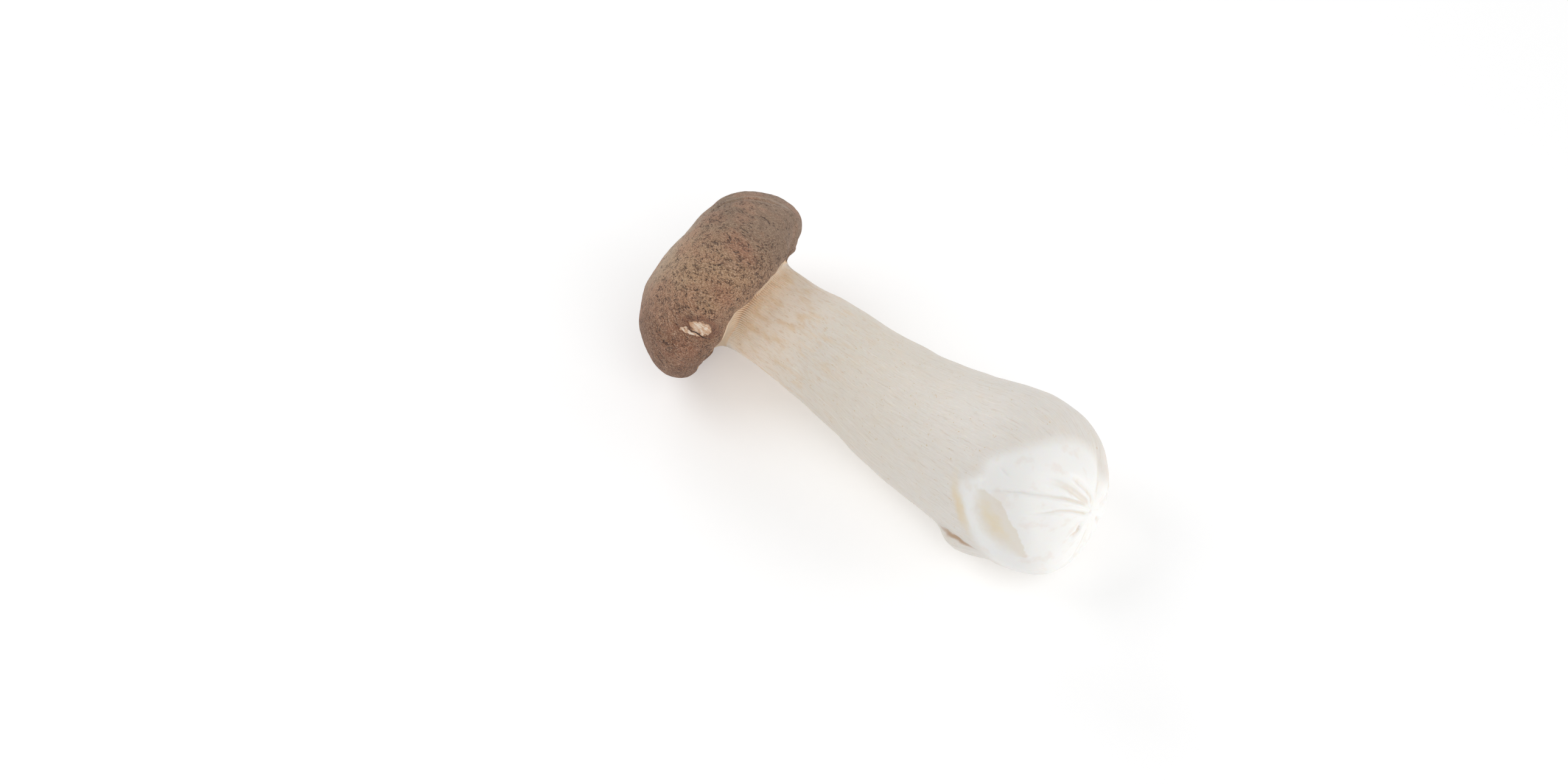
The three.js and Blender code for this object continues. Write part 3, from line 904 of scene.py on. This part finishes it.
def cap_material():
    """Matt brown skin: pale grains between dark crevices, short cracks, greyer on the crown, redder and
    darker below, the darkening partly painted shade, with a painted highlight and painted shade along its
    creases and painted light on the flesh under its edge.
    """
    s = Shader("cap_skin")
    straight = s.attribute("straight")
    unrolled = s.attribute("unrolled")
    facing = s.attribute("facing", "Fac")
    past_edge = s.attribute("past_edge", "Fac")
    creased = s.attribute("creased", "Fac")
    wobbled = s.vector("ADD", straight, s.wander(straight, CAP_WOBBLE_SCALE, CAP_WOBBLE))
    places = {"straight": straight, "wobbled": wobbled, "unrolled": unrolled}
    found = s.noises(CAP_NOISES, places)
    found["distance"] = s.node("ShaderNodeSeparateXYZ", Vector=unrolled).outputs["X"]
    low_side = math.radians(FACING_ANGLE + 90)
    found["lowness"] = s.vector("DOT_PRODUCT", straight, (math.cos(low_side), math.sin(low_side), 0))

    skin = s.mix(s.ramp(found["distance"], *CROWN_TO_SIDE), colour(*CROWN_TAN), colour(*SIDE_TAN))
    # These tints include painted shade on the side towards the table
    skin = s.tints(skin, CAP_TINTS, found, {"all": 1.0})
    for distance, angle, strength in BLUSHES:
        near = s.ramp(s.ellipse(unrolled, arc_mm(distance, angle), *BLUSH_SIZE), *BLUSH_FADE)
        skin = s.tint(skin, s.times(near, facing), strength, colour(*BLUSH))

    worn_side = s.times(s.ramp(found["lowness"], *WORN_SIDE), WORN_SIDE_STRENGTH)
    worn = s.math("MAXIMUM", s.ramp(found["distance"], *WORN_CROWN), worn_side)
    rough = s.minus(1.0, s.times(worn, WORN_SMOOTHS))
    fine_share = s.times(found["fine"], 1 - GRAIN_SHARE)
    found["mixed_grain"] = s.plus(s.times(found["grain"], GRAIN_SHARE), fine_share)
    skin = s.tints(skin, GRAIN_TINTS, found, {"rough": rough})

    relief = s.times(found["mixed_grain"], GRAIN_RELIEF)
    patchy = s.plus(found["broken"], s.minus(found["busy"], s.times(worn, WORN_UNCRACKS)))
    drawn_out = s.vector("MULTIPLY", wobbled, CRACK_STRETCH)
    for scale, width, low, high, strength, tint, depth in CRACKS:
        along_edges = s.ramp(s.cell_edges(drawn_out, scale), width, width * CRACK_CORE)
        crack = s.times(along_edges, s.ramp(patchy, low, high))
        skin = s.tint(skin, crack, strength, colour(*tint))
        relief = s.minus(relief, s.times(crack, depth))
    # Painted highlight on the creases' shoulders and painted shade in the creases
    shoulder_highlight = s.times(s.ramp(creased, *SHOULDER_RISE), s.ramp(creased, *SHOULDER_FALL), worn)
    skin = s.tint(skin, shoulder_highlight, SHOULDER_STRENGTH, colour(*SHOULDER_HIGHLIGHT))
    line = s.times(s.ramp(creased, *SHADE_IN_CREASE), s.ramp(s.plus(found["grain"], worn), *SHADE_IN_GRAIN))
    skin = s.tint(skin, line, CREASE_SHADE_STRENGTH, colour(*CREASE_SHADE_COLOUR))
    skin, torn, split = scar_marks(s, skin, places, facing, found["threads"])

    # Under the skin's edge: pale flesh as painted light against the cap's shadow, with painted shade deeper
    # in the gills' valleys
    in_gill = s.times(s.attribute("in_gill", "Fac"), GILL_PAINTED_SHADE_STRENGTH)
    skin = s.tint(skin, s.ramp(past_edge, *EDGE_BAND), EDGE_BAND_STRENGTH, colour(*EDGE_BAND_COLOUR))
    skin = s.tint(skin, s.ramp(past_edge, *EDGE_LINE), EDGE_LINE_STRENGTH, colour(*EDGE_LINE_COLOUR))
    under_cap_light_and_shade = s.mix(in_gill, colour(*UNDER_CAP_AND_PAINTED_LIGHT), colour(*GILL_PAINTED_SHADE))
    skin = s.mix(s.ramp(past_edge, *FLESH_BEGINS), skin, under_cap_light_and_shade)

    on_skin = s.times(s.ramp(past_edge, *RELIEF_ENDS), s.minus(1.0, s.times(torn, TORN_FLATTENS)))
    torn_relief = s.times(torn, s.minus(s.times(found["threads"], THREAD_RELIEF), TORN_DEPTH))
    relief = s.minus(s.plus(s.times(relief, on_skin), torn_relief), s.times(split, SPLIT_DEPTH))
    s.put_surface(CAP_SURFACE)
    s.put_surface({
        "Base Color": skin,
        "Normal": s.bump(relief, CAP_RELIEF_MM),
        "Roughness": s.plus(CAP_ROUGHNESS, s.times(found["fine"], CAP_ROUGHNESS_SPREAD)),
    })
    return s.material


def base_marks(s, body, found, places, facing, creased):
    """The flesh with its base's marks: the patch, the yellow in and above it, creases tinted tan with painted
    shade, and painted shadow along the torn strip.
    """
    unrolled = places["unrolled"]
    rough = s.wander(places["straight"], BASE_ROUGH_SCALE, BASE_ROUGH)
    from_patch = s.ragged_mark(unrolled, PATCH, rough)
    from_middle = s.vector("SUBTRACT", unrolled, (*arc_mm(PATCH[0], PATCH[1]), 0.0))
    sharp = s.ramp(s.vector("DOT_PRODUCT", from_middle, PATCH_SHARP_WAY), *PATCH_SHARP_REACH)
    sharp_part = s.times(s.ramp(from_patch, *PATCH_SHARP_FADE), sharp)
    soft_part = s.times(s.ramp(from_patch, *PATCH_SOFT_FADE), s.minus(1.0, sharp))
    patch = s.times(s.plus(sharp_part, soft_part), facing)
    body = s.tint(body, patch, PATCH_STRENGTH, colour(*PATCH_COLOUR))
    yellow = s.times(s.ramp(s.ragged_mark(unrolled, YELLOW, rough), *YELLOW_FADE), facing)
    yellow = s.times(yellow, s.plus(YELLOW_LEAST, found["across"]))
    body = s.tint(body, yellow, YELLOW_STRENGTH, colour(*YELLOW_COLOUR))
    streak = s.times(s.ramp(s.ragged_mark(unrolled, STREAK, rough), *STREAK_FADE), facing)
    body = s.tint(body, streak, STREAK_STRENGTH, colour(*STREAK_COLOUR))
    # Partly tan, partly painted shade in the base's creases
    in_crease = s.times(s.ramp(creased, *CREASE_TINTED), s.ramp(found["distance"], *CREASE_TINT_ENDS))
    body = s.tint(body, in_crease, CREASE_TINT_STRENGTH, colour(*CREASE_TAN_AND_SHADE))
    # Painted shadow along the torn strip's edge
    strip = s.ramp(s.ragged_mark(unrolled, STRIP_SHADOW, rough), *STRIP_SHADOW_FADE)
    return s.tint(body, strip, STRIP_SHADOW_STRENGTH, colour(*STRIP_SHADOW_COLOUR))


def flesh_material():
    """Ivory flesh: tan under the cap, fibrous along the stem, smooth and white at the base, with painted
    light near the neck and on the base, and painted shade in the gills, the base's creases and along the torn
    strip.
    """
    s = Shader("flesh")
    straight = s.attribute("straight")
    unrolled = s.attribute("unrolled")
    smooth_base = s.attribute("smooth_base", "Fac")
    wobbled = s.vector("ADD", straight, s.wander(straight, FLESH_WOBBLE_SCALE, FLESH_WOBBLE))
    places = {"straight": straight, "wobbled": wobbled, "unrolled": unrolled}
    found = s.noises(FLESH_NOISES, places)
    distance = s.node("ShaderNodeSeparateXYZ", Vector=unrolled).outputs["X"]
    found["distance"] = distance

    body = s.mix(s.ramp(distance, *UPPER_TO_LOWER), colour(*UPPER_STEM), colour(*LOWER_STEM))
    # Painted light near the neck, partly its warmer tone
    body = s.tints(body, NECK_TINTS_AND_PAINTED_LIGHT, found, {"all": 1.0})
    # Painted shade, deeper in the gills' valleys
    body = s.tint(body, s.attribute("in_gill", "Fac"), GILL_PAINTED_SHADE_STRENGTH, colour(*GILL_PAINTED_SHADE))
    on_stem = s.ramp(distance, *STEM_BEGINS)
    fibrous = s.minus(1.0, smooth_base)
    stained = s.plus(STAINS_EVERYWHERE, s.times(s.ramp(distance, *STAINS_END), STAINS_NEAR_CAP))
    body = s.tints(body, STEM_TINTS, found, {
        "stained": s.times(on_stem, stained),
        "fibrous": fibrous,
        "dashed": s.times(fibrous, s.ramp(distance, *DASHES_END)),
        "fibrous_stem": s.times(on_stem, fibrous),
    })
    # Smooth base: paler tissue, partly painted light on the bulb
    body = s.mix(smooth_base, body, colour(*SMOOTH_BASE))
    body = s.tints(body, BASE_TINTS, found, {"smooth_base": smooth_base})
    body = base_marks(s, body, found, places, s.attribute("facing", "Fac"), s.attribute("creased", "Fac"))

    relief = s.plus(s.times(found["fibres"], FIBRE_RELIEF), s.times(found["hairs"], HAIR_RELIEF))
    relief = s.times(relief, s.plus(SMOOTH_RELIEF, s.times(fibrous, 1 - SMOOTH_RELIEF)))
    roughness = s.plus(FLESH_ROUGHNESS, s.times(fibrous, FIBROUS_ROUGHNESS))
    s.put_surface(FLESH_SURFACE)
    s.put_surface({
        "Base Color": body,
        "Normal": s.bump(relief, FLESH_RELIEF_MM),
        "Roughness": s.plus(roughness, s.times(found["fibres"], FIBRE_ROUGHNESS)),
    })
    return s.material


def table_material():
    s = Shader("white_table")
    s.put_surface(TABLE_SURFACE)
    return s.material


# The object, and the studio round it


def make_mushroom():
    mesh = mushroom_mesh()
    mesh.materials.append(cap_material())
    mesh.materials.append(flesh_material())
    piece = bpy.data.objects.new("king_oyster_mushroom_flesh", mesh)
    bpy.context.collection.objects.link(piece)
    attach(piece, "root")
    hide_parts(NODE)
    return piece


def make_table():
    half = TABLE_HALF_WIDTH
    mesh = bpy.data.meshes.new("table_top")
    corners = [(-half, -half, 0), (half, -half, 0), (half, half, 0), (-half, half, 0)]
    mesh.from_pydata(corners, [], [(0, 1, 2, 3)])
    mesh.materials.append(table_material())
    table = bpy.data.objects.new("table_top", mesh)
    bpy.context.collection.objects.link(table)


def camera_directions():
    """The picture's right and up, and the direction back towards the camera."""
    azimuth, elevation = math.radians(CAMERA_AZIMUTH), math.radians(CAMERA_ELEVATION)
    right = Vector((math.cos(azimuth), math.sin(azimuth), 0))
    back = Vector((math.sin(azimuth) * math.cos(elevation), -math.cos(azimuth) * math.cos(elevation),
                   math.sin(elevation)))
    return right, back.cross(right), back


def make_camera():
    right, up, back = camera_directions()
    focal_pixels = PICTURE_WIDTH * LENS_MM / SENSOR_MM
    away = focal_pixels / PIXELS_PER_MM + MIDDLE_DEPTH_MM
    aside = (ORIGIN_PIXEL[0] - PICTURE_WIDTH / 2) / PIXELS_PER_MM
    below = (ORIGIN_PIXEL[1] - PICTURE_HEIGHT / 2) / PIXELS_PER_MM
    data = bpy.data.cameras.new("camera")
    data.sensor_width = SENSOR_MM
    data.lens = LENS_MM
    data.clip_end = CLIP_END
    camera = bpy.data.objects.new("camera", data)
    camera.location = (back * away - right * aside + up * below) * MM
    camera.rotation_euler = back.to_track_quat("Z", "Y").to_euler()
    bpy.context.collection.objects.link(camera)
    bpy.context.scene.camera = camera


def add_area_light(name, place, size, power):
    data = bpy.data.lights.new(name, "AREA")
    data.shape = "DISK"
    data.size = size
    data.energy = power
    light = bpy.data.objects.new(name, data)
    light.location = place
    light.rotation_euler = place.to_track_quat("Z", "Y").to_euler()
    bpy.context.collection.objects.link(light)


def make_lights():
    right, up, back = camera_directions()
    level_away = Vector((-back.x, -back.y, 0)).normalized()
    for name, rightward, backward, away, height, size, power in LIGHTS:
        place = right * rightward + back * backward + level_away * away + Vector((0, 0, height))
        add_area_light(name, place, size, power)
    world = bpy.data.worlds.new("studio")
    world.use_nodes = True
    world.node_tree.nodes["Background"].inputs["Color"].default_value = (1, 1, 1, 1)
    world.node_tree.nodes["Background"].inputs["Strength"].default_value = WORLD_STRENGTH
    bpy.context.scene.world = world


make_camera()
make_mushroom()
make_table()
make_lights()
bpy.context.scene.view_settings.view_transform = "Standard"
